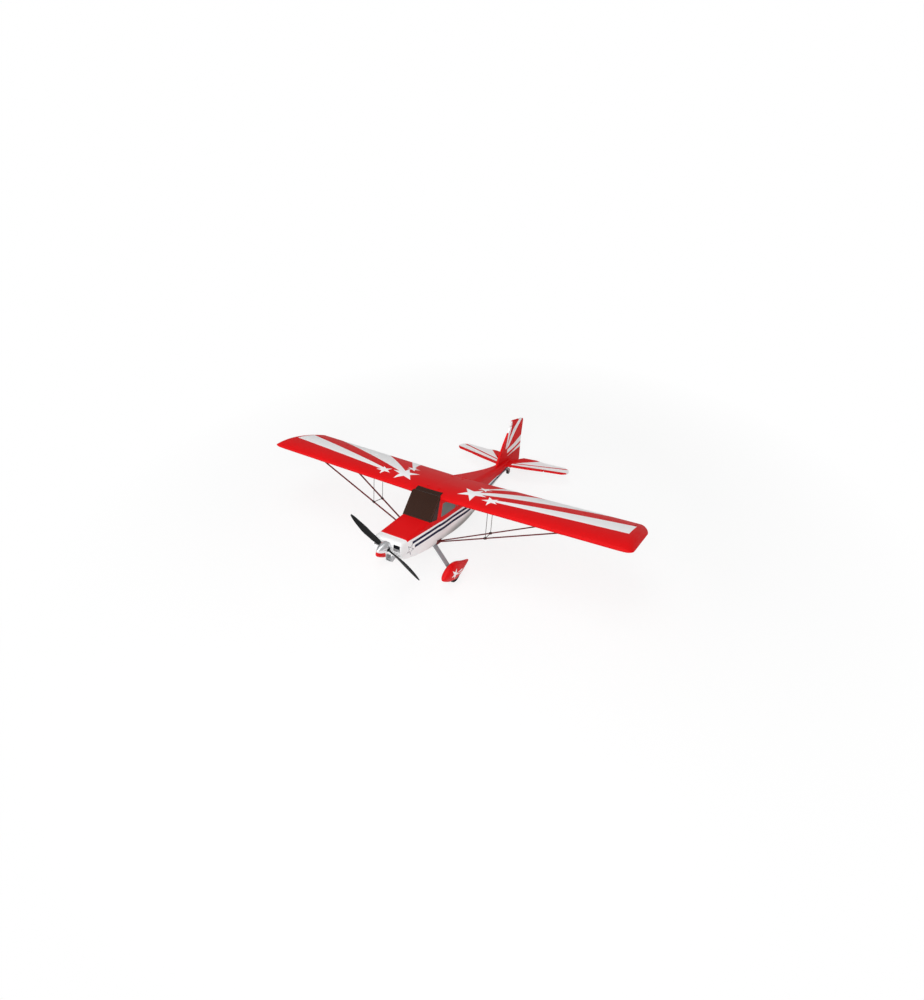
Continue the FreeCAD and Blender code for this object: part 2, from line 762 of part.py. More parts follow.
def tail_fork():
    """Steering post, crown, two fork blades, axle and the steering arm."""
    post = rod(vec(0, TAIL_POST_Y, 5), vec(0, TAIL_POST_Y, 18), 1.5)
    crown = box(-7.4, 7.4, TAIL_POST_Y - 4, TAIL_POST_Y + 5, 5, 8)
    edge = TAIL_WHEEL_Y + 3
    outline = [(TAIL_POST_Y - 4, 8, 0), (TAIL_POST_Y + 5, 8, 0), (edge, -8, 2)]
    outline += [(edge, -13, 2), (TAIL_WHEEL_Y - 3, -13, 2), (TAIL_POST_Y - 4, 5, 0)]
    blade = plate_yz(outline, 5.9, 7.4)
    axle_rod = rod(vec(-8, TAIL_WHEEL_Y, TAIL_WHEEL_Z), vec(8, TAIL_WHEEL_Y, TAIL_WHEEL_Z), 1.0)
    arm_end = STEER_LEVER + 2.4
    arm_line = [(5, TAIL_POST_Y - 4, 0), (arm_end, TAIL_POST_Y - 2.4, 1), (arm_end, TAIL_POST_Y + 2.4, 1)]
    arm = plate_xy(arm_line + [(5, TAIL_POST_Y + 4, 0)], 5.5, 7.5)
    whole = fused([post, crown, blade, mirrored(blade), axle_rod, arm])
    pivot, _ = steering_pivots()
    return whole.cut(rod(pivot - vec(0, 0, 6), pivot + vec(0, 0, 6), ROD_R + RUN_FIT))


def tail_wheel():
    centre = vec(0, TAIL_WHEEL_Y, TAIL_WHEEL_Z)
    tyre = revolved_tyre(TAIL_WHEEL_R, 6.0, TAIL_WHEEL_W).translated(centre)
    hub = wheel_hub(6.0, TAIL_WHEEL_W, 1.0 + RUN_FIT).translated(centre)
    return Part.makeCompound([tyre, hub])


# ---------------------------------------------------------------- power train

def along_y(radius, y0, y1):
    return rod(vec(0, y0, 0), vec(0, y1, 0), radius)


def blade(angle):
    """Twisted propeller blade lofted through ellipses along its length."""
    stations = (
        (5.0, 12.0, 8.0), (24.0, 14.0, 6.5), (48.0, 19.0, 4.6), (80.0, 22.0, 3.4),
        (112.0, 19.0, 2.6), (138.0, 13.0, 2.0), (PROP_R, 5.0, 1.2),
    )
    radial = vec(math.cos(angle), 0, math.sin(angle))
    side = vec(-math.sin(angle), 0, math.cos(angle))
    wires = []
    for radius, chord, thick in stations:
        pitch = math.atan2(PROP_PITCH, 2 * math.pi * max(radius, 36.0))
        sweep = BLADE_SWEEP * math.sin(math.pi * radius / PROP_R)
        chord_way = side * math.cos(pitch) - vec(0, 1, 0) * math.sin(pitch)
        thick_way = radial.cross(chord_way)
        wire = Part.Wire([Part.Ellipse(vec(0, 0, 0), chord / 2, thick / 2).toShape()])
        centre = radial * radius + side * sweep
        wires.append(moved(wire, frame_at(centre, chord_way, thick_way)))
    return Part.makeLoft(wires, True, False)


def propeller():
    angle = math.radians(PROP_ANGLE)
    hub = along_y(9, -5, 5)
    whole = fused([hub, blade(angle), blade(angle + math.pi)])
    return whole.cut(along_y(SHAFT_R, -20, 20))


def nose_solid(points):
    curve = Part.BSplineCurve()
    curve.interpolate([vec(r, y, 0) for r, y in points])
    foot = vec(points[0][0], points[0][1], 0)
    tip = vec(0, points[-1][1], 0)
    base = vec(0, points[0][1], 0)
    edges = [curve.toShape(), Part.makeLine(tip, base), Part.makeLine(base, foot)]
    return Part.Face(Part.Wire(edges)).revolve(vec(0, 0, 0), vec(0, 1, 0), 360)


def spinner():
    """Hollow nose cone with a back plate and two gaps for the blades."""
    r = SPINNER_R
    tip = SPINNER_TIP_Y
    outer = nose_solid([(r, 6), (r * 0.96, -6), (r * 0.76, -19), (r * 0.42, -32), (0, tip)])
    inner_r = r - 1.5
    inner = nose_solid([(inner_r, 6), (r * 0.89, -6), (r * 0.69, -18), (r * 0.36, -30), (0, tip + 3)])
    plate = along_y(r, 6, 8).cut(along_y(SHAFT_R, 0, 20))
    shell = fused([outer.cut(inner), plate])
    gap = box(-60, 60, -8, 5.9, -9.5, 9.5)
    return shell.cut(gap.rotated(vec(0, 0, 0), vec(0, 1, 0), -PROP_ANGLE))


def prop_nut():
    return along_y(5, -11, -5).cut(along_y(SHAFT_R, -20, 20))


def motor_rotor():
    """Outrunner can with magnets' ring, front plate, collar and shaft."""
    can = along_y(CAN_R, 16, 36).cut(along_y(CAN_R - 1.6, 18, 40))
    collar = along_y(6, 8, 16)
    shaft = along_y(SHAFT_R, -13, 42)
    return fused([can, collar, shaft])


def motor_base():
    """Stator and mounting cross; the shaft runs in its bore."""
    stator = along_y(CAN_R - 2.4, 19, 36)
    foot = along_y(13, 37, 44)
    neck = along_y(10, 34, 40)
    return fused([stator, neck, foot]).cut(along_y(SHAFT_R + RUN_FIT, 0, 60))


def motor_mount():
    plate = box(-26, 26, 49, NOSE_Y, -26, 15)
    box_part = box(-14, 14, 44, 49, -14, 14)
    return fused([plate, box_part])


# ---------------------------------------------------------------- struts

def strut_points(index):
    x, y = STRUT_END[index]
    end = WING.multVec(vec(x, y, skin_z(y, -1)))
    return vec(50.0, STRUT_ROOT_Y[index], STRUT_ROOT_Z - 3), end


def strut(index):
    start, end = strut_points(index)
    way = (end - start).normalize()
    chord_way = (vec(0, 1, 0) - way * way.y).normalize()
    wire = Part.Wire([Part.Ellipse(vec(0, 0, 0), STRUT_CHORD / 2, STRUT_DEPTH / 2).toShape()])
    placed = moved(wire, frame_at(start, chord_way, way.cross(chord_way)))
    length = (end - start).Length + 6
    return Part.Face(placed).extrude(way * length)


def strut_brackets():
    """Screw-on brackets at the fuselage and under the wing."""
    y0, y1 = STRUT_ROOT_Y
    side = box(50, BRACKET_X, y0 - 8, y1 + 8, STRUT_ROOT_Z - 8, STRUT_ROOT_Z + 7)
    under = []
    for x, y in STRUT_END:
        z = skin_z(y, -1)
        pad = box(x - 9, x + 9, y - 6, y + 6, z - 3, z + 5)
        under.append(moved(pad, WING))
    return [side] + under


def jury_points():
    points = []
    for index in (0, 1):
        start, end = strut_points(index)
        points.append(start + (end - start) * JURY_FRACTION)
    return points


def jury_struts():
    """Clamps on both struts, a cross bar and two wires up to the wing."""
    clamps = []
    wires = []
    for index, point in enumerate(jury_points()):
        start, end = strut_points(index)
        way = (end - start).normalize()
        clamps.append(rod(point - way * 4, point + way * 4, 4.2))
        wires.append(rod(point, vec(point.x, point.y, 106), 0.9))
    front, rear = jury_points()
    return fused(clamps + wires + [rod(front, rear, 1.2)])


# ---------------------------------------------------------------- equipment

def battery_tray():
    outline = [(-48.5, 60, 0), (48.5, 60, 0), (52, 170, 0), (-52, 170, 0)]
    return plate_xy(outline, -47, -44)


def battery():
    pack = box(-17, 17, 62, 158, -44, -18)
    return pack.makeFillet(2.5, pack.Edges)


def battery_strap():
    outer = box(-18.5, 18.5, 108, 124, -44, -16.5)
    return outer.cut(box(-17, 17, 100, 130, -50, -18))


def speed_controller():
    case = box(-42, -22, 72, 122, -44, -33)
    return case.makeFillet(2, case.Edges)


def servo_tray():
    low = -30.0
    plate = box(-54, 54, 262, 356, low, low + 3)
    return plate


def servo_posts():
    """Upright frame that carries the elevator servo by its ears."""
    arm = vec(*ELEVATOR_SERVO)
    low = -27.0
    front = box(arm.x - 16, arm.x - 6, arm.y - 24, arm.y - 16.2, low, arm.z - 6)
    rear = box(arm.x - 16, arm.x - 6, arm.y + 7.2, arm.y + 15, low, arm.z - 6)
    return [front, rear]


def receiver():
    case = box(16, 44, 268, 308, -27, -14)
    return case.makeFillet(2, case.Edges)


def wing_plates():
    front = box(-52, 52, 262, 278, 78, 81)
    rear = box(-52, 52, 424, 440, 70, 73)
    return Part.makeCompound([front, rear])


def wing_bolts():
    """Nylon bolts through the wing roots into the two plates."""
    bolts = []
    for y, low in ((270.0, 75.0), (432.0, 67.0)):
        top = WING.multVec(vec(22, y - WING_LE_Y, skin_z(y - WING_LE_Y, 1))).z
        shank = rod(vec(22, y, low), vec(22, y, top), 2.0)
        head = rod(vec(22, y, top - 0.6), vec(22, y, top + 1.6), 4.5)
        bolts.append(fused([shank, head]))
    return bolts + [mirrored(bolt) for bolt in bolts]


def spar_sleeve():
    """Tube inside one wing panel that the joiner rod slides into."""
    start = vec(6, SPAR_Y, SPAR_Z)
    tube = rod(start, vec(SLEEVE_END, SPAR_Y, SPAR_Z), 5.0)
    return moved(tube.cut(rod(start, vec(SLEEVE_END + 1, SPAR_Y, SPAR_Z), 4.0)), WING)


def spar_joiner():
    """Rod bent at the middle to the dihedral, in both sleeves."""
    arm = rod(vec(-1, SPAR_Y, SPAR_Z), vec(240, SPAR_Y, SPAR_Z), 3.95)
    left = left_only(moved(arm, WING))
    return fused([left, mirrored(left)])


# ---------------------------------------------------------------- assembly

def wing_parts(nodes):
    """Wing panels, tips, ailerons, their servos, horns, rods and hinges."""
    servo_frame = aileron_servo_frame()
    servo = moved(servo_local(), servo_frame)
    arm = moved(arm_local(AILERON_LEVER), servo_frame)
    _, arm_pin, horn_pin = aileron_pivots()
    horn = horn_plate_yz(AILERON_ARM_X, horn_pin, (AILERON_HINGE + 17, AILERON_HINGE + 5, -2.6), vec(1, 0, 0))
    link = pushrod(arm_pin, horn_pin, vec(1, 0, 0))
    leaves = []
    panel = panel_local()
    aileron = aileron_local().cut(horn)
    for x in AILERON_STATIONS:
        leaf = hinge_leaf(x, AILERON_HINGE, AILERON_AXIS_Z)
        leaves.append(leaf)
        aileron = without(aileron, hinge_room(x, AILERON_HINGE, AILERON_AXIS_Z, AILERON_NOSE_R))
        panel = panel.cut(leaf)
    y = AILERON_SERVO_Y
    pocket = box(AILERON_ARM_X - 26, AILERON_ARM_X - 4, y - 16, y + 7, -12, 6)
    arm_slot = box(AILERON_ARM_X - 4, AILERON_ARM_X + 4, y - 13, y + 13, -30, 7)
    tube = rod(vec(6, SPAR_Y, SPAR_Z), vec(SLEEVE_END, SPAR_Y, SPAR_Z), 5.0)
    joiner_hole = rod(vec(-5, SPAR_Y, SPAR_Z), vec(7, SPAR_Y, SPAR_Z), 4.2)
    panel = without(panel, [servo, pocket, arm_slot, tube, joiner_hole])
    panel = left_only(moved(panel, WING))
    panel = without(panel, wing_bolts()[:2])
    left = {
        "wing_panel": panel,
        "aileron": moved(aileron, WING),
        "aileron_horn": moved(horn, WING),
        "aileron_servo_arm": moved(arm, WING),
        "aileron_pushrod": moved(link, WING),
    }
    for name, shape in left.items():
        nodes[name + "_left"] = shape
        nodes[name + "_right"] = mirrored(shape)
    nodes["wing_tips"] = both_sides(moved(tip_local(), WING))
    nodes["wing_spar_sleeves"] = both_sides(spar_sleeve())
    nodes["aileron_servos"] = both_sides(moved(servo, WING))
    nodes["wing_joiner"] = spar_joiner()
    nodes["wing_bolts"] = Part.makeCompound(wing_bolts())
    placed = [moved(leaf, WING) for leaf in leaves]
    return placed + [mirrored(leaf) for leaf in placed]


def tail_parts(nodes):
    """Fin, rudder, stabiliser, elevator with horns and hinge leaves."""
    leaves = []
    stab = stabiliser()
    elev = elevator()
    for x in ELEVATOR_STATIONS:
        for sign in (1, -1):
            leaf = hinge_leaf(sign * x, ELEVATOR_HINGE_Y, STAB_Z)
            leaves.append(leaf)
            stab = stab.cut(leaf)
            room = hinge_room(sign * x, ELEVATOR_HINGE_Y, STAB_Z, TAIL_HALF_THICK)
            elev = without(elev, room)
    fin_part = fin()
    rudder_part = rudder()
    for z in RUDDER_STATIONS:
        leaf = moved(hinge_leaf(z, 0, 0), FIN_FRAME)
        leaves.append(leaf)
        fin_part = fin_part.cut(leaf)
        room = [moved(tool, FIN_FRAME) for tool in hinge_room(z, 0, 0, FIN_HALF_THICK)]
        rudder_part = without(rudder_part, room)
    _, arm_pin, horn_pin = elevator_pivots()
    x_way = vec(1, 0, 0)
    root = (ELEVATOR_HINGE_Y + 14, ELEVATOR_HINGE_Y + 4, STAB_Z - TAIL_HALF_THICK)
    horn = horn_plate_yz(ELEVATOR_HORN_X, horn_pin, root, x_way)
    nodes["elevator_pushrod"] = pushrod(arm_pin, horn_pin, x_way)
    nodes["elevator_horn"] = horn
    nodes["elevator"] = elev.cut(horn)
    nodes["rudder_horn"] = rudder_horn()
    nodes["rudder"] = rudder_part.cut(nodes["rudder_horn"])
    _, arm_pin, horn_pin = rudder_pivots()
    nodes["rudder_pushrod"] = pushrod(arm_pin, horn_pin, vec(0, 0, 1))
    nodes["fin"] = fin_part
    nodes["stabiliser"] = stab
    return leaves


def rudder_horn():
    """Pushrod horn on the right side and steering tiller under the rudder."""
    y = RUDDER_HINGE_Y
    z = RUDDER_HORN_Z
    tip = -RUDDER_LEVER - 2.5
    outline = [(tip, y - 2.2, 1), (tip, y + 2.6, 1), (-2, y + 15, 0), (-2, y + 5, 0)]
    plate = plate_xy(outline, z - ARM_THICK / 2, z + ARM_THICK / 2)
    _, _, pin = rudder_pivots()
    hole_r = ROD_R + RUN_FIT
    plate = plate.cut(rod(pin - vec(0, 0, 6), pin + vec(0, 0, 6), hole_r))
    _, tiller = steering_pivots()
    end = STEER_LEVER + 2.6
    outline = [(-3, y - 2, 1), (end, y - 2.6, 1), (end, y + 2.6, 1), (3, y + 14, 1), (-3, y + 14, 1)]
    lower = plate_xy(outline, RUDDER_BOTTOM_Z - ARM_THICK, RUDDER_BOTTOM_Z)
    lower = lower.cut(rod(tiller - vec(0, 0, 6), tiller + vec(0, 0, 6), hole_r))
    return Part.makeCompound([plate, lower])


def equipment_parts(nodes):
    arm, _, _ = elevator_pivots()
    frame = frame_at(arm, vec(0, 0, -1), vec(0, 1, 0))
    elevator_servo = moved(servo_local(), frame)
    nodes["elevator_servo_arm"] = moved(arm_local(ELEVATOR_LEVER), frame)
    arm, _, _ = rudder_pivots()
    frame = frame_at(arm, vec(-1, 0, 0), vec(0, -1, 0))
    rudder_servo = moved(servo_local(), frame)
    nodes["rudder_servo_arm"] = moved(arm_local(RUDDER_LEVER), frame)
    nodes["tail_servos"] = Part.makeCompound([elevator_servo, rudder_servo])
    tray = fused([servo_tray()] + servo_posts())
    nodes["servo_tray"] = without(tray, [elevator_servo, rudder_servo])
    nodes["battery_tray"] = battery_tray()
    nodes["battery"] = battery()
    nodes["battery_strap"] = battery_strap()
    nodes["speed_controller"] = speed_controller()
    nodes["receiver"] = receiver()
    plates = without(wing_plates(), [nodes["wing_bolts"]])
    block = gear_block().cut(gear_screws())
    nodes["ply_mounts"] = Part.makeCompound(plates.Solids + block.Solids)


def gear_parts(nodes):
    tyre, hub = main_wheel_parts()
    screws = gear_screws()
    leg = gear_leg().cut(screws)
    leg = leg.cut(axle())
    pant = wheel_pant().cut(axle())
    for side, flip in (("left", lambda s: s), ("right", mirrored)):
        nodes["wheel_" + side] = flip(Part.makeCompound([tyre, hub]))
        nodes["gear_leg_" + side] = flip(leg)
        nodes["wheel_pant_" + side] = flip(pant)
    nodes["gear_bolts"] = Part.makeCompound(both_sides(axle()).Solids + screws.Solids)
    nodes["tail_bracket"] = tail_bracket()
    nodes["tail_fork"] = tail_fork()
    nodes["tail_wheel"] = tail_wheel()
    nodes["steering_link"] = steering_link()


def strut_parts(nodes):
    brackets = strut_brackets()
    front = without(strut(0), brackets + [nodes["wing_panel_left"]])
    rear = without(strut(1), brackets + [nodes["wing_panel_left"]])
    front = front.common(box(BRACKET_X, HALF_SPAN, 0, 500, -200, 200))
    rear = rear.common(box(BRACKET_X, HALF_SPAN, 0, 500, -200, 200))
    jury = without(jury_struts(), [strut(0), strut(1), nodes["wing_panel_left"]])
    hull = hull_solid(0)
    pads = [without(pad, [hull, nodes["wing_panel_left"]]) for pad in brackets]
    pair = Part.makeCompound([front, rear])
    nodes["wing_struts_left"] = pair
    nodes["wing_struts_right"] = mirrored(pair)
    nodes["jury_struts"] = both_sides(jury)
    nodes["strut_brackets"] = Part.makeCompound(pads + [mirrored(pad) for pad in pads])


def power_parts(nodes):
    nodes["propeller"] = propeller()
    nodes["spinner"] = spinner()
    nodes["motor_rotor"] = Part.makeCompound([motor_rotor(), prop_nut()])
    nodes["motor_base"] = motor_base()
    nodes["motor_mount"] = motor_mount()
    nodes["nose_cowl"] = cowl()


def rod_channels():
    """Round channels that let the two long rods leave the tail."""
    channels = []
    for _, near, far in (elevator_pivots(), rudder_pivots()):
        axis = vec(1, 0, 0) if near.x > 0 else vec(0, 0, 1)
        lift = axis * ROD_OFFSET
        channels.append(rod(near + lift, far + lift, ROD_CHANNEL_R))
    return channels


def fuselage_parts(nodes, wing_pair):
    """Two moulded halves, the glazing and the lift-off hatch."""
    cavity = hull_cavity().cut(hatch_ledges())
    shell = hull_solid(0).cut(cavity)
    tools = [hatch_seat(), hatch_throat(), screen_region(), wing_bay()]
    tools += window_regions()
    tools += rod_channels()
    tools += [nodes[name] for name in (
        "gear_leg_left", "gear_leg_right", "gear_bolts", "ply_mounts", "battery_tray",
        "servo_tray", "stabiliser", "fin", "tail_bracket",
    )]
    tools.append(rod(vec(0, TAIL_POST_Y, 5), vec(0, TAIL_POST_Y, 20), 2.5))
    tools.append(gear_recess())
    tools.append(stab_nose(-60, 60, TAIL_HALF_THICK + COVE_GAP))
    tools.append(box(-60, 60, TAIL_END_Y, 900, -50, 150))
    shell = without(shell, tools)
    side = box(0, 200, -100, 1100, -300, 300)
    nodes["fuselage_left"] = shell.common(side)
    nodes["fuselage_right"] = shell.common(mirrored(side))
    nodes["windshield"] = windshield(wing_pair)
    nodes["side_windows"] = side_windows()
    nodes["battery_hatch"] = hatch()


def ground_pitch():
    """Nose-up angle at which the main and tail wheels touch one plane."""
    run = TAIL_WHEEL_Y - WHEEL_Y
    rise = TAIL_WHEEL_Z - WHEEL_Z
    reach = math.hypot(run, rise)
    return math.atan2(rise, run) - math.asin((TAIL_WHEEL_R - WHEEL_R) / reach)


def ground_placement(nodes):
    """Set the aeroplane down: wheels on Z = 0, centred over the origin."""
    turn = FreeCAD.Rotation(vec(1, 0, 0), -math.degrees(ground_pitch()))
    tilt = FreeCAD.Placement(vec(0, 0, 0), turn)
    bounds = FreeCAD.BoundBox()
    for shape in nodes.values():
        bounds.add(moved(shape, tilt).optimalBoundingBox())
    wheel = turn.multVec(vec(0, WHEEL_Y, WHEEL_Z))
    shift = vec(0, -bounds.Center.y, WHEEL_R - wheel.z)
    return FreeCAD.Placement(shift, turn)


def all_nodes():
    nodes = {}
    leaves = wing_parts(nodes)
    leaves += tail_parts(nodes)
    nodes["surface_hinges"] = Part.makeCompound(leaves)
    equipment_parts(nodes)
    gear_parts(nodes)
    strut_parts(nodes)
    power_parts(nodes)
    wing_pair = [nodes["wing_panel_left"], nodes["wing_panel_right"]]
    fuselage_parts(nodes, wing_pair)
    return nodes


def main():
    os.makedirs("parts", exist_ok=True)
    nodes = all_nodes()
    ground = ground_placement(nodes)
    for name, shape in nodes.items():
        moved(shape, ground).exportStep("parts/" + name + ".step")
        print(name, len(shape.Solids), round(shape.Volume), shape.isValid())


if __name__ == "__main__":
    main()
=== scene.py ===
"""A foam radio-controlled high-wing aeroplane, dressed over its CAD frame."""
import bmesh
import bpy
import json
import math
from mathutils import Matrix, Vector


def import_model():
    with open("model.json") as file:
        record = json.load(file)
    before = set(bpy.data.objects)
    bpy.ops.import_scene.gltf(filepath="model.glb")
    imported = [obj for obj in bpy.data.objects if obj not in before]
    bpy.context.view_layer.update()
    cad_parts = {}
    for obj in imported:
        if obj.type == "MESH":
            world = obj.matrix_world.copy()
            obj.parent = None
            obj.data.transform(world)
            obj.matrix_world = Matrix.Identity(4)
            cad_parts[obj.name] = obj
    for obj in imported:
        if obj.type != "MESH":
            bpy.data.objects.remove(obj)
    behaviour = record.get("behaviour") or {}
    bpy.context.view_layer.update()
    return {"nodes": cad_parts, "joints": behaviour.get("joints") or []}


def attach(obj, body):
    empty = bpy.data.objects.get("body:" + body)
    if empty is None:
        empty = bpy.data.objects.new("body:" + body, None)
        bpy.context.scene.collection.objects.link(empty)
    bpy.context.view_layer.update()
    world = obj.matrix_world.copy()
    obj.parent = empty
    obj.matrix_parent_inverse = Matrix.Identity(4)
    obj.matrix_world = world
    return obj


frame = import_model()
NODES = frame["nodes"]
JOINTS = {joint["name"]: joint for joint in frame["joints"]}

# The aeroplane is drawn along its thrust line: X to the left wing, Y aft,
# Z up, in millimetres from the middle of the propeller.
ORIGIN = Vector(JOINTS["propeller_spin"]["pos_m"])
AFT = Vector(JOINTS["propeller_spin"]["axis"])
UP = Vector(JOINTS["rudder_hinge"]["axis"])
PORT = AFT.cross(UP)
TO_GROUND = Matrix((PORT, AFT, UP)).transposed()

# ---- artwork on the wing: across from the middle, aft from its leading edge ----
WING_LE_Y = 229.0
CHORD = 242.0
TIP_CAP_X = 662.0
WING_STARS = (  # centre, radius, direction of one point in degrees
    ((137, 71), 52, 0),
    ((214, 52), 30, 52),
    ((149, 138), 26, 12),
)
LONG_RAY = ((149, 45), (TIP_CAP_X, 87), (TIP_CAP_X, 180))
LONG_RAY_START_X = 222
WIDE_RAY = ((103, 52), (570, CHORD), (330, CHORD))
WIDE_RAY_START_X = 131
SHORT_RAY = ((144, 128), (224, CHORD), (184, CHORD))

# ---- artwork and painted shade on the hull: lines of (y, height) from nose to tail ----
BELT = ((52, 15.5), (78, 14.6), (189, 13.2), (333, 12.2), (631, 17.8), (752, 19.8), (884, 26))
UPPER_STRIPE = ((70, 0.5), (420, 0), (560, 3), (666, 9), (781, 20), (884, 25))
UPPER_STRIPE_START_Y = 74
LOWER_STRIPE = ((84, -17.7), (420, -17.7), (560, -8), (666, 3), (781, 16), (884, 22))
LOWER_STRIPE_START_Y = 88
STRIPE_HALF = ((70, 4.8), (420, 4.8), (666, 2.6), (884, 1.4))
KEEL_HALF = 6
# painted shade: the belly lines below lay a dark grey over the white underside aft, where it falls in
# shade
BELLY_SHADE_EDGE = ((52, -60), (333, -44), (560, -22), (884, 12))
BELLY_SHADE_BLEND = 22.0
BELLY_SHADE_START_Y = 250
BELLY_SHADE_FADE_LENGTH = 200.0
BELLY_SHADE_SHARE = 0.8
BADGE = (64, -19)
BADGE_TURN = 200
BADGE_RIM_R = 21
BADGE_R = 16.5
COWL_DECK = (45, 14.8)
# painted shade: the lines below lay a grey on the cowl under the nose, where the chin falls in shade
CHIN_SHADE_HALF = 12
CHIN_SHADE_TOP = -40
CHIN_SHADE_END_Y = 51

# ---- artwork on the stabiliser: first and second edge of each white band ----
STAB_BANDS = (
    (((50, 820), (240, 877)), ((60, 842), (215, 904))),
    (((60, 851), (215, 914)), ((50, 855), (106, 922))),
)
STAB_BANDS_START_X = 34

# ---- artwork on the fin and rudder: (height, y), and (y, height) for the last two ----
FIN_BAND_FOOT = 104
FIN_FIRST_NOSE = ((100, 812), (117, 816), (215, 836))
FIN_FIRST = ((100, 815), (117, 826), (150, 837), (189, 852), (215, 853))
FIN_SECOND = (
    ((100, 818), (122, 832), (151, 849), (178, 870), (214, 921)),
    ((100, 818), (114, 843), (139, 867), (165, 893), (206, 943)),
)
FIN_THIRD = (
    ((824, 96), (830, 98), (890, 111), (942, 129)),
    ((824, 82), (833, 82), (902, 93), (952, 106)),
)
FIN_THIRD_START_Y = 832
FIN_LOW_RAY = ((833, 67), (955, 81), (955, 96))

# ---- artwork on the wheel pants: (y, height) ----
PANT_STAR = (190, -135)
PANT_STAR_R = 20
PANT_TRAILS = (  # start, right and left end
    ((194, -134), (242, -143), (242, -136)),
    ((194, -139), (240, -153), (240, -146)),
)
PANT_ART_OUT_X = 137

# ---- wheels: axle (y, height) and hub radius ----
HUBS = (((216, -151), 18), ((870, -10), 6))

# ---- mesh clean-up and edge rounding ----
WELD_REACH_M = 0.00002
FLAT_ANGLE = math.radians(0.6)
ROUNDED_ANGLE = math.radians(38)
ROUNDING_STEPS = 3
DEFAULT_ROUNDING = 0.25

# ---- wind screen mouldings: centre lines on the left half ----
SCREEN_FOOT = ((-53.5, 173, 32), (-49, 172, 35), (-40, 171.5, 35.6))
SCREEN_EDGE = ((53.6, 173, 33.6), (53.6, 199, 69), (53.2, 225, 104.5))
FOOT_WIDTH = 2.4
FOOT_HEIGHT = 5.0
EDGE_WIDTH = 3.2
MOULDING_SIDES = 12

# ---- floor, world and lamps, in metres and watts ----
FLOOR_HALF = 60.0
FLOOR_GREY = 0.9
FADE_PER_METRE = 0.3
FADE_START = 0.52
FADE_LOW = 0.8
WORLD_LIGHT = 0.42
LAMPS = {  # place, target, width, power
    "key": ((1.4, -2.6, 2.3), (0, -0.1, 0.2), 1.8, 62),
    "fill": ((-2.0, -2.2, 1.5), (0, -0.1, 0.2), 2.0, 22),
    "top": ((0.0, -0.4, 3.0), (0, 0.0, 0.2), 2.2, 22),
}

# ---- camera ----
CAMERA_PLACE = (1002.3, -1361.9, 928.1)
CAMERA_TURN = 28.555
CAMERA_DROP = 24.066
CAMERA_ROLL = 4.37
CAMERA_LENS = 22.04


def at(x, y, z):
    """A point given in thrust-line millimetres, in metres on the ground frame."""
    return ORIGIN + TO_GROUND @ Vector((x, y, z)) / 1000


def way(x, y, z):
    """A direction given along the thrust-line axes."""
    return (TO_GROUND @ Vector((x, y, z))).normalized()


# ---------------------------------------------------------------- node fields

class Field:
    """A number at every point of a surface, made of shader math nodes."""

    def __init__(self, tree, socket):
        self.tree = tree
        self.socket = socket

    def math(self, kind, other=None, third=None):
        node = self.tree.nodes.new("ShaderNodeMath")
        node.operation = kind
        self.tree.links.new(self.socket, node.inputs[0])
        for slot, value in ((1, other), (2, third)):
            if isinstance(value, Field):
                self.tree.links.new(value.socket, node.inputs[slot])
            elif value is not None:
                node.inputs[slot].default_value = value
        return Field(self.tree, node.outputs[0])

    def __add__(self, other):
        return self.math("ADD", other)

    def __sub__(self, other):
        return self.math("SUBTRACT", other)

    def __mul__(self, other):
        return self.math("MULTIPLY", other)

    def __neg__(self):
        return self.math("MULTIPLY", -1.0)

    def low(self, other):
        return self.math("MINIMUM", other)

    def high(self, other):
        return self.math("MAXIMUM", other)

    def size(self):
        return self.math("ABSOLUTE")

    def mask(self, softness=0.5):
        """1 where the field is above zero, 0 below, with a soft edge."""
        grown = self.math("MULTIPLY_ADD", 1 / softness, 0.5)
        return grown.math("MAXIMUM", 0.0).math("MINIMUM", 1.0)


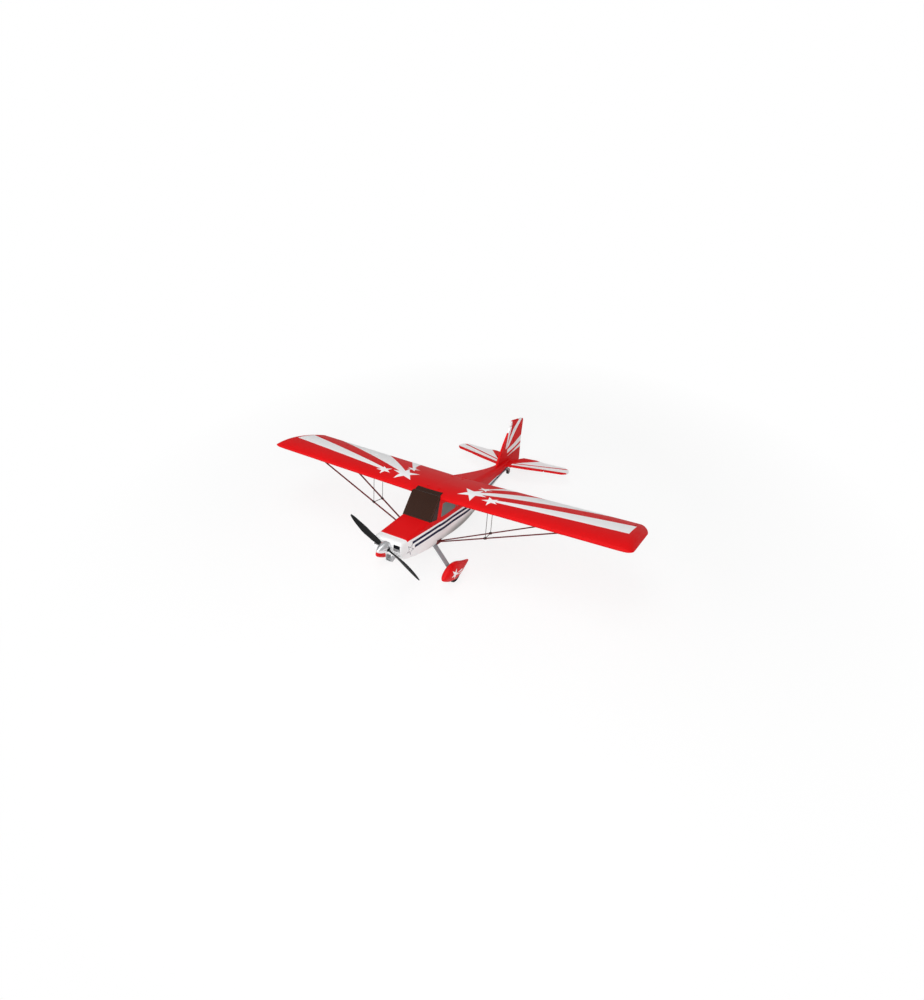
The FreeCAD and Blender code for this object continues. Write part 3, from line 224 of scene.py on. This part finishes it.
class Paint:
    """A material whose colours are laid over each other by masks."""

    def __init__(self, name, rough, coat=0.0, metallic=0.0, shine=0.12):
        self.material = bpy.data.materials.new(name)
        self.material.use_nodes = True
        self.tree = self.material.node_tree
        self.shader = self.tree.nodes["Principled BSDF"]
        self.shader.inputs["Roughness"].default_value = rough
        self.shader.inputs["Coat Weight"].default_value = coat
        self.shader.inputs["Specular IOR Level"].default_value = shine
        self.shader.inputs["Coat Roughness"].default_value = 0.12
        self.shader.inputs["Metallic"].default_value = metallic
        self.coords = self.tree.nodes.new("ShaderNodeTexCoord").outputs["Object"]
        self.colour = None

    def axis(self, direction):
        """Distance along a direction from the propeller, in millimetres."""
        shifted = self.tree.nodes.new("ShaderNodeVectorMath")
        shifted.operation = "SUBTRACT"
        self.tree.links.new(self.coords, shifted.inputs[0])
        shifted.inputs[1].default_value = ORIGIN
        dot = self.tree.nodes.new("ShaderNodeVectorMath")
        dot.operation = "DOT_PRODUCT"
        self.tree.links.new(shifted.outputs[0], dot.inputs[0])
        dot.inputs[1].default_value = direction * 1000
        return Field(self.tree, dot.outputs["Value"])

    def xyz(self):
        return self.axis(PORT), self.axis(AFT), self.axis(UP)

    def noise(self, scale, detail=2.0):
        node = self.tree.nodes.new("ShaderNodeTexNoise")
        node.inputs["Scale"].default_value = scale
        node.inputs["Detail"].default_value = detail
        self.tree.links.new(self.coords, node.inputs["Vector"])
        return Field(self.tree, node.outputs["Fac"])

    def cells(self, scale):
        node = self.tree.nodes.new("ShaderNodeTexVoronoi")
        node.feature = "DISTANCE_TO_EDGE"
        node.inputs["Scale"].default_value = scale
        self.tree.links.new(self.coords, node.inputs["Vector"])
        return Field(self.tree, node.outputs["Distance"])

    def start(self, dark, light, scale=9.0):
        """Base colour that drifts gently between two near shades."""
        mix = self.tree.nodes.new("ShaderNodeMix")
        mix.data_type = "RGBA"
        mix.inputs[6].default_value = (*dark, 1)
        mix.inputs[7].default_value = (*light, 1)
        self.tree.links.new(self.noise(scale).socket, mix.inputs[0])
        self.colour = mix.outputs[2]
        return self

    def over(self, mask, colour):
        """Lay a colour over what is there wherever the mask is 1."""
        mix = self.tree.nodes.new("ShaderNodeMix")
        mix.data_type = "RGBA"
        self.tree.links.new(mask.socket, mix.inputs[0])
        self.tree.links.new(self.colour, mix.inputs[6])
        mix.inputs[7].default_value = (*colour, 1)
        self.colour = mix.outputs[2]
        return self

    def bump(self, field, depth, strength):
        node = self.tree.nodes.new("ShaderNodeBump")
        node.inputs["Distance"].default_value = depth
        node.inputs["Strength"].default_value = strength
        self.tree.links.new(field.socket, node.inputs["Height"])
        self.tree.links.new(node.outputs[0], self.shader.inputs["Normal"])
        return self

    def rough_from(self, field, low, high):
        value = field.math("MULTIPLY_ADD", high - low, low)
        self.tree.links.new(value.socket, self.shader.inputs["Roughness"])
        return self

    def done(self):
        self.tree.links.new(self.colour, self.shader.inputs["Base Color"])
        return self.material


def side_of(u, v, start, end):
    """Distance to the left of the line from start to end."""
    run = end[0] - start[0]
    rise = end[1] - start[1]
    length = math.hypot(run, rise)
    across = (v - start[1]) * (run / length)
    return across - (u - start[0]) * (rise / length)


def ray(u, v, start, right, left):
    """Wedge that opens from start between the points right and left."""
    return side_of(u, v, start, right).low(-side_of(u, v, start, left))


def band(u, v, first, second):
    """Strip between the line first (its left) and second (its right)."""
    return side_of(u, v, *first).low(-side_of(u, v, *second))


def course(u, points):
    """Height at u of the line that runs straight from point to point."""
    height = u * 0 + points[0][1]
    before = 0.0
    for (u0, v0), (u1, v1) in zip(points, points[1:]):
        slope = (v1 - v0) / (u1 - u0)
        height = height + (u - u0).high(0.0) * (slope - before)
        before = slope
    return height


def star(u, v, centre, radius, turn):
    """Five-pointed star, positive inside, with one point towards turn."""
    du = u - centre[0]
    dv = v - centre[1]
    reach = (du * du + dv * dv).math("SQRT")
    angle = dv.math("ARCTAN2", du) - math.radians(turn)
    sector = math.radians(72)
    folded = angle + (sector / 2 + 10 * sector)
    folded = (folded.math("MODULO", sector) - sector / 2).size()
    px = reach * folded.math("COSINE")
    py = reach * folded.math("SINE")
    inner = radius * 0.382
    ex = inner * math.cos(sector / 2) - radius
    ey = inner * math.sin(sector / 2)
    length = math.hypot(ex, ey)
    return py * (ex / length) - (px - radius) * (ey / length)


# ---------------------------------------------------------------- paints

RED_DARK = (0.62, 0.0015, 0.003)
RED_LIGHT = (0.72, 0.002, 0.004)
WHITE = (0.90, 0.90, 0.905)
NAVY = (0.003, 0.006, 0.045)
# painted shade: grey that stands in for the shade under the white chin
CHIN_SHADE_GREY = (0.42, 0.43, 0.44)
# painted shade: dark grey that stands in for the shade on the white belly aft
BELLY_SHADE_GREY = (0.19, 0.215, 0.20)


def foam(paint):
    """Moulded bead foam under paint: faint cells and a soft orange peel."""
    beads = paint.cells(230.0).math("MINIMUM", 0.12)
    skin = beads + paint.noise(900.0) * 0.05
    return paint.bump(skin, 0.0005, 0.12)


def wing_paint():
    """Three stars on each panel, each with a ray that opens towards the tail."""
    paint = Paint("wing_paint", 0.5).start(RED_DARK, RED_LIGHT)
    x, y, z = paint.xyz()
    u = x.size()
    v = y - WING_LE_Y
    shapes = [star(u, v, *place) for place in WING_STARS]
    shapes += [
        ray(u, v, *LONG_RAY).low(u - LONG_RAY_START_X),
        ray(u, v, *WIDE_RAY).low(u - WIDE_RAY_START_X),
        ray(u, v, *SHORT_RAY),
    ]
    inside = joined(shapes).low(-(u - TIP_CAP_X))
    paint.over(inside.mask(0.7), WHITE)
    return foam(paint).done()


def joined(shapes):
    """The field that is positive inside any of the shapes."""
    whole = shapes[0]
    for shape in shapes[1:]:
        whole = whole.high(shape)
    return whole


def fuselage_paint():
    """Red over white, with twin navy stripes and painted shade: a dark grey laid over the belly aft.
    """
    paint = Paint("fuselage_paint", 0.5).start(RED_DARK, RED_LIGHT)
    x, y, z = paint.xyz()
    paint.over((course(y, BELT) - z).mask(0.6), WHITE)
    half = course(y, STRIPE_HALF)
    upper = (half - (z - course(y, UPPER_STRIPE)).size()).low(y - UPPER_STRIPE_START_Y)
    lower = (half - (z - course(y, LOWER_STRIPE)).size()).low(y - LOWER_STRIPE_START_Y)
    paint.over(upper.high(lower).low(x.size() - KEEL_HALF).mask(0.6), NAVY)
    add_badge(paint, y, z)
    # painted shade: a dark grey over the belly aft stands in for the shade under the hull
    belly_shade = (course(y, BELLY_SHADE_EDGE) - z).mask(BELLY_SHADE_BLEND)
    belly_shade = belly_shade * (y - BELLY_SHADE_START_Y).mask(BELLY_SHADE_FADE_LENGTH)
    paint.over(belly_shade * BELLY_SHADE_SHARE, BELLY_SHADE_GREY)
    return foam(paint).done()


def add_badge(paint, y, z):
    """White star with a navy edge where the stripes begin."""
    paint.over(star(y, z, BADGE, BADGE_RIM_R, BADGE_TURN).mask(0.5), NAVY)
    paint.over(star(y, z, BADGE, BADGE_R, BADGE_TURN).mask(0.5), WHITE)


def cowl_paint():
    """White, with the red of the deck behind and painted shade: a grey patch under the nose."""
    paint = Paint("cowl_paint", 0.42, shine=0.2).start((0.87, 0.87, 0.875), WHITE, 14.0)
    x, y, z = paint.xyz()
    deck_y, deck_z = COWL_DECK
    paint.over((y - deck_y).low(z - deck_z).mask(0.6), RED_LIGHT)
    # painted shade: grey under the nose stands in for the shade on the chin
    chin_shade = (-(x.size() - CHIN_SHADE_HALF)).low(-(z - CHIN_SHADE_TOP)).low(-(y - CHIN_SHADE_END_Y))
    paint.over(chin_shade.mask(0.8), CHIN_SHADE_GREY)
    add_badge(paint, y, z)
    return paint.bump(paint.noise(500.0), 0.0002, 0.1).done()


def stabiliser_paint():
    """Two white bands on each half, split by a thin red line."""
    paint = Paint("stabiliser_paint", 0.5).start(RED_DARK, RED_LIGHT)
    x, y, z = paint.xyz()
    u = x.size()
    first, second = [band(u, y, *edges) for edges in STAB_BANDS]
    paint.over(first.high(second).low(u - STAB_BANDS_START_X).mask(0.6), WHITE)
    return foam(paint).done()


def fin_paint():
    """White bands that rise from the foot of the fin and spread aft."""
    paint = Paint("fin_paint", 0.5).start(RED_DARK, RED_LIGHT)
    x, y, z = paint.xyz()
    first = (course(z, FIN_FIRST) - y).low(y - course(z, FIN_FIRST_NOSE))
    second = (y - course(z, FIN_SECOND[0])).low(course(z, FIN_SECOND[1]) - y)
    third = (course(y, FIN_THIRD[0]) - z).low(z - course(y, FIN_THIRD[1]))
    bands = [
        first.low(z - FIN_BAND_FOOT),
        second.low(z - FIN_BAND_FOOT),
        third.low(y - FIN_THIRD_START_Y),
        ray(y, z, *FIN_LOW_RAY),
    ]
    paint.over(joined(bands).mask(0.6), WHITE)
    return foam(paint).done()


def pant_paint():
    """A star with two trails on the outer face of each wheel pant."""
    paint = Paint("pant_paint", 0.42, shine=0.2).start(RED_DARK, RED_LIGHT)
    x, y, z = paint.xyz()
    shapes = [star(y, z, PANT_STAR, PANT_STAR_R, BADGE_TURN)]
    for start, right, left in PANT_TRAILS:
        shapes.append(ray(y, z, start, right, left).low(-(y - right[0])))
    paint.over(joined(shapes).low(x.size() - PANT_ART_OUT_X).mask(0.5), WHITE)
    return foam(paint).done()


def wheel_paint():
    """Black rubber with a pale hub around each axle."""
    paint = Paint("tyre_rubber", 0.75).start((0.018, 0.018, 0.018), (0.03, 0.03, 0.03), 30.0)
    x, y, z = paint.xyz()
    discs = []
    for (hub_y, hub_z), radius in HUBS:
        dy = y - hub_y
        dz = z - hub_z
        discs.append(-((dy * dy + dz * dz).math("SQRT") - radius))
    paint.over(joined(discs).mask(0.3), (0.62, 0.62, 0.63))
    return paint.bump(paint.noise(300.0), 0.0005, 0.2).done()


def plain(name, dark, light, rough, coat=0.0, metallic=0.0):
    """One colour with a fine grain in its gloss and surface."""
    paint = Paint(name, rough, coat, metallic, 0.2).start(dark, light, 30.0)
    grain_field = paint.noise(300.0)
    paint.rough_from(grain_field, rough * 0.85, min(rough * 1.2, 1.0))
    return paint.bump(grain_field, 0.0002, 0.2).done()


def brushed(name, dark, light, rough, stretch):
    """Metal with fine marks drawn along one direction."""
    paint = Paint(name, rough, metallic=1.0).start(dark, light, 20.0)
    scale = paint.tree.nodes.new("ShaderNodeMapping")
    scale.inputs["Scale"].default_value = stretch
    paint.tree.links.new(paint.coords, scale.inputs["Vector"])
    lines = paint.tree.nodes.new("ShaderNodeTexNoise")
    lines.inputs["Scale"].default_value = 1.0
    lines.inputs["Detail"].default_value = 3.0
    paint.tree.links.new(scale.outputs[0], lines.inputs["Vector"])
    field = Field(paint.tree, lines.outputs["Fac"])
    paint.rough_from(field, rough * 0.8, rough * 1.25)
    return paint.bump(field, 0.0001, 0.15).done()


def tinted(name, colour, alpha, rough):
    """Thin tinted sheet: a gloss surface over a dark see-through film."""
    paint = Paint(name, rough, shine=0.18).start(colour, tuple(c * 1.5 for c in colour), 14.0)
    paint.shader.inputs["Alpha"].default_value = alpha
    paint.shader.inputs["IOR"].default_value = 1.49
    return paint.bump(paint.noise(40.0, 0.0), 0.0002, 0.05).done()


def wood():
    """Birch plywood with wavy year rings."""
    paint = Paint("plywood", 0.55).start((0.50, 0.34, 0.18), (0.66, 0.48, 0.29), 22.0)
    rings = paint.tree.nodes.new("ShaderNodeTexWave")
    rings.inputs["Scale"].default_value = 45.0
    rings.inputs["Distortion"].default_value = 5.0
    paint.tree.links.new(paint.coords, rings.inputs["Vector"])
    field = Field(paint.tree, rings.outputs["Fac"])
    return paint.bump(field, 0.0002, 0.3).done()


def woven(name, colour):
    """Flat cloth of crossing threads."""
    paint = Paint(name, 0.8).start(colour, tuple(c * 1.6 for c in colour), 400.0)
    checks = paint.tree.nodes.new("ShaderNodeTexChecker")
    checks.inputs["Scale"].default_value = 900.0
    paint.tree.links.new(paint.coords, checks.inputs["Vector"])
    return paint.bump(Field(paint.tree, checks.outputs["Fac"]), 0.0004, 0.4).done()


PAINTS = {
    "wing": wing_paint(),
    "fuselage": fuselage_paint(),
    "cowl": cowl_paint(),
    "stabiliser": stabiliser_paint(),
    "fin": fin_paint(),
    "pant": pant_paint(),
    "screen": tinted("tinted_screen", (0.024, 0.009, 0.005), 0.96, 0.25),
    "window": tinted("grey_window", (0.11, 0.14, 0.135), 0.94, 0.2),
    "black": plain("black_nylon", (0.012, 0.012, 0.014), (0.02, 0.02, 0.023), 0.38),
    "blade": plain("propeller_black", (0.002, 0.002, 0.0022), (0.004, 0.004, 0.0045), 0.5),
    "tyre": wheel_paint(),
    "wire": brushed("steel_wire", (0.42, 0.43, 0.45), (0.55, 0.56, 0.58), 0.3, (900, 900, 60)),
    "leg": plain("leg_alloy", (0.30, 0.315, 0.335), (0.36, 0.375, 0.395), 0.5, metallic=0.2),
    "spinner": brushed("spinner_silver", (0.74, 0.75, 0.77), (0.84, 0.85, 0.87), 0.32, (80, 80, 600)),
    "alloy": brushed("motor_alloy", (0.30, 0.31, 0.33), (0.40, 0.41, 0.43), 0.35, (700, 60, 700)),
    # painted shade: a dark maroon on the struts and their brackets stands in for red struts in shade
    "strut": plain("strut_maroon", (0.10, 0.005, 0.006), (0.14, 0.007, 0.008), 0.42),
    "frame": plain("screen_frame", (0.040, 0.015, 0.009), (0.052, 0.019, 0.012), 0.4),
    "trim": plain("dark_trim", (0.02, 0.008, 0.007), (0.035, 0.012, 0.01), 0.35, coat=0.2),
    "wood": wood(),
    "case": plain("dark_case", (0.02, 0.022, 0.03), (0.035, 0.037, 0.047), 0.45),
    "battery": plain("battery_wrap", (0.02, 0.06, 0.22), (0.03, 0.08, 0.28), 0.3, coat=0.4),
    "strap": woven("battery_strap", (0.012, 0.012, 0.012)),
    "carbon": woven("carbon_tube", (0.015, 0.015, 0.017)),
}

NODE_PAINTS = {
    "wing": (
        "wing_panel_left", "wing_panel_right", "wing_tips", "aileron_left",
        "aileron_right", "wing_bolts",
    ),
    "fuselage": ("fuselage_left", "fuselage_right", "battery_hatch"),
    "cowl": ("nose_cowl",),
    "stabiliser": ("stabiliser", "elevator"),
    "fin": ("fin", "rudder"),
    "pant": ("wheel_pant_left", "wheel_pant_right"),
    "screen": ("windshield",),
    "window": ("side_windows",),
    "black": (
        "surface_hinges", "aileron_horn_left", "aileron_horn_right", "elevator_horn",
        "rudder_horn", "aileron_servo_arm_left", "aileron_servo_arm_right",
        "elevator_servo_arm", "rudder_servo_arm", "tail_bracket",
    ),
    "blade": ("propeller",),
    "tyre": ("wheel_left", "wheel_right", "tail_wheel"),
    "wire": (
        "aileron_pushrod_left", "aileron_pushrod_right", "elevator_pushrod",
        "rudder_pushrod", "steering_link", "tail_fork", "gear_bolts", "wing_joiner",
    ),
    "leg": ("gear_leg_left", "gear_leg_right"),
    "spinner": ("spinner",),
    "alloy": ("motor_rotor", "motor_base"),
    "strut": ("wing_struts_left", "wing_struts_right", "strut_brackets"),
    "trim": ("jury_struts",),
    "wood": ("ply_mounts", "servo_tray", "battery_tray"),
    "case": ("aileron_servos", "tail_servos", "receiver", "speed_controller", "motor_mount"),
    "battery": ("battery",),
    "strap": ("battery_strap",),
    "carbon": ("wing_spar_sleeves",),
}

# edge rounding in millimetres for the moulded and machined pieces
SOFT_EDGES = {
    "wing_panel_left": 0.8, "wing_panel_right": 0.8, "aileron_left": 0.8,
    "aileron_right": 0.8, "wing_tips": 0.6, "fuselage_left": 1.0, "fuselage_right": 1.0,
    "battery_hatch": 1.2, "nose_cowl": 0.8, "stabiliser": 2.0, "elevator": 2.0,
    "fin": 2.4, "rudder": 2.4, "wheel_pant_left": 1.0, "wheel_pant_right": 1.0,
    "windshield": 0.4, "side_windows": 0.5, "gear_leg_left": 0.7, "gear_leg_right": 0.7,
    "strut_brackets": 1.2, "motor_mount": 1.0, "aileron_servos": 0.6, "tail_servos": 0.6,
    "propeller": 0.3,
}


def dress_nodes():
    """Give every CAD node its paint and its rounded edges."""
    for paint, names in NODE_PAINTS.items():
        for name in names:
            node = NODES[name]
            node.data.materials.clear()
            node.data.materials.append(PAINTS[paint])
            soften(node, SOFT_EDGES.get(name, DEFAULT_ROUNDING))


def soften(node, width):
    """Weld the tessellated mesh, merge its flat faces and round its edges."""
    node.data.shade_smooth()
    weld = node.modifiers.new("weld", "WELD")
    weld.merge_threshold = WELD_REACH_M
    flat = node.modifiers.new("flat", "DECIMATE")
    flat.decimate_type = "DISSOLVE"
    flat.angle_limit = FLAT_ANGLE
    bevel = node.modifiers.new("bevel", "BEVEL")
    bevel.width = width / 1000
    bevel.segments = ROUNDING_STEPS
    bevel.limit_method = "ANGLE"
    bevel.angle_limit = ROUNDED_ANGLE
    bevel.harden_normals = True
    normals = node.modifiers.new("normals", "WEIGHTED_NORMAL")
    normals.keep_sharp = True


# ---------------------------------------------------------------- new pieces

def moulding(name, points, width, height, body, paint):
    """Rounded bar of oval section through thrust-line points."""
    centres = [at(*point) for point in points]
    mesh = bmesh.new()
    rings = []
    for i, centre in enumerate(centres):
        ahead = centres[min(i + 1, len(centres) - 1)] - centres[max(i - 1, 0)]
        across = ahead.cross(UP).normalized()
        above = across.cross(ahead).normalized()
        ring = []
        for k in range(MOULDING_SIDES):
            angle = math.tau * k / MOULDING_SIDES
            sideways = across * math.cos(angle) * width / 2000
            ring.append(mesh.verts.new(centre + sideways + above * math.sin(angle) * height / 2000))
        rings.append(ring)
    for near, far in zip(rings, rings[1:]):
        for k in range(MOULDING_SIDES):
            j = (k + 1) % MOULDING_SIDES
            mesh.faces.new((near[k], near[j], far[j], far[k]))
    mesh.faces.new(rings[0][::-1])
    mesh.faces.new(rings[-1])
    bmesh.ops.recalc_face_normals(mesh, faces=mesh.faces)
    data = bpy.data.meshes.new(name)
    mesh.to_mesh(data)
    mesh.free()
    data.shade_smooth()
    data.materials.append(PAINTS[paint])
    obj = bpy.data.objects.new(name, data)
    bpy.context.scene.collection.objects.link(obj)
    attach(obj, body)


def screen_frame():
    """Dark bars along the foot and both edges of the wind screen."""
    foot = list(SCREEN_FOOT) + [(-x, y, z) for x, y, z in reversed(SCREEN_FOOT)]
    moulding("screen_foot", foot, FOOT_WIDTH, FOOT_HEIGHT, "airframe", "frame")
    for side, sign in (("left", 1), ("right", -1)):
        edge = [(sign * x, y, z) for x, y, z in SCREEN_EDGE]
        name = "screen_edge_" + side
        moulding(name, edge, EDGE_WIDTH, EDGE_WIDTH, "airframe", "frame")


# ---------------------------------------------------------------- stage

def floor():
    """Pale floor that keeps the shadow and fades to plain white further out."""
    mesh = bpy.data.meshes.new("floor")
    half = FLOOR_HALF
    corners = [(-half, -half, 0), (half, -half, 0), (half, half, 0), (-half, half, 0)]
    mesh.from_pydata(corners, [], [(0, 1, 2, 3)])
    obj = bpy.data.objects.new("floor", mesh)
    bpy.context.scene.collection.objects.link(obj)
    material = bpy.data.materials.new("floor")
    material.use_nodes = True
    tree = material.node_tree
    diffuse = tree.nodes["Principled BSDF"]
    diffuse.inputs["Base Color"].default_value = (FLOOR_GREY, FLOOR_GREY, FLOOR_GREY, 1)
    diffuse.inputs["Roughness"].default_value = 0.9
    glow = tree.nodes.new("ShaderNodeEmission")
    glow.inputs["Color"].default_value = (1, 1, 1, 1)
    glow.inputs["Strength"].default_value = 1.0
    reach = tree.nodes.new("ShaderNodeVectorMath")
    reach.operation = "LENGTH"
    coords = tree.nodes.new("ShaderNodeTexCoord")
    tree.links.new(coords.outputs["Object"], reach.inputs[0])
    fade = Field(tree, reach.outputs["Value"]).math("MULTIPLY_ADD", FADE_PER_METRE, FADE_START)
    fade = fade.high(FADE_LOW).low(1.0)
    path = tree.nodes.new("ShaderNodeLightPath")
    share = fade * Field(tree, path.outputs["Is Camera Ray"])
    mix = tree.nodes.new("ShaderNodeMixShader")
    tree.links.new(share.socket, mix.inputs[0])
    tree.links.new(diffuse.outputs[0], mix.inputs[1])
    tree.links.new(glow.outputs[0], mix.inputs[2])
    tree.links.new(mix.outputs[0], tree.nodes["Material Output"].inputs["Surface"])
    obj.data.materials.append(material)


def world():
    """White sky that lights softly and is seen as plain white."""
    made = bpy.data.worlds.new("studio")
    made.use_nodes = True
    tree = made.node_tree
    lit = tree.nodes["Background"]
    lit.inputs["Color"].default_value = (1, 1, 1, 1)
    lit.inputs["Strength"].default_value = WORLD_LIGHT
    seen = tree.nodes.new("ShaderNodeBackground")
    seen.inputs["Color"].default_value = (1, 1, 1, 1)
    seen.inputs["Strength"].default_value = 1.0
    path = tree.nodes.new("ShaderNodeLightPath")
    mix = tree.nodes.new("ShaderNodeMixShader")
    tree.links.new(path.outputs["Is Camera Ray"], mix.inputs[0])
    tree.links.new(lit.outputs[0], mix.inputs[1])
    tree.links.new(seen.outputs[0], mix.inputs[2])
    tree.links.new(mix.outputs[0], tree.nodes["World Output"].inputs["Surface"])
    bpy.context.scene.world = made


def lamp(name, place, target, size, power):
    """Round soft box at a place, turned to its target."""
    data = bpy.data.lights.new(name, "AREA")
    data.shape = "DISK"
    data.size = size
    data.energy = power
    obj = bpy.data.objects.new(name, data)
    bpy.context.scene.collection.objects.link(obj)
    obj.location = place
    obj.rotation_euler = (Vector(target) - Vector(place)).to_track_quat("-Z", "Y").to_euler()


def camera():
    """The photo's camera, fitted in thrust-line axes."""
    data = bpy.data.cameras.new("camera")
    data.lens = CAMERA_LENS
    data.sensor_width = 36
    data.clip_end = 200
    obj = bpy.data.objects.new("camera", data)
    bpy.context.scene.collection.objects.link(obj)
    turn = math.radians(CAMERA_TURN)
    drop = math.radians(CAMERA_DROP)
    roll = math.radians(CAMERA_ROLL)
    level = math.cos(drop)
    back = Vector((math.sin(turn) * level, -math.cos(turn) * level, math.sin(drop)))
    right = Vector((math.cos(turn), math.sin(turn), 0))
    above = back.cross(right)
    tilted_right = right * math.cos(roll) + above * math.sin(roll)
    tilted_up = above * math.cos(roll) - right * math.sin(roll)
    turned = Matrix((way(*tilted_right), way(*tilted_up), way(*back))).transposed()
    obj.matrix_world = Matrix.Translation(at(*CAMERA_PLACE)) @ turned.to_4x4()
    bpy.context.scene.camera = obj


dress_nodes()
screen_frame()
floor()
world()
for lamp_name, setting in LAMPS.items():
    lamp(lamp_name, *setting)
camera()
bpy.context.scene.view_settings.view_transform = "Standard"
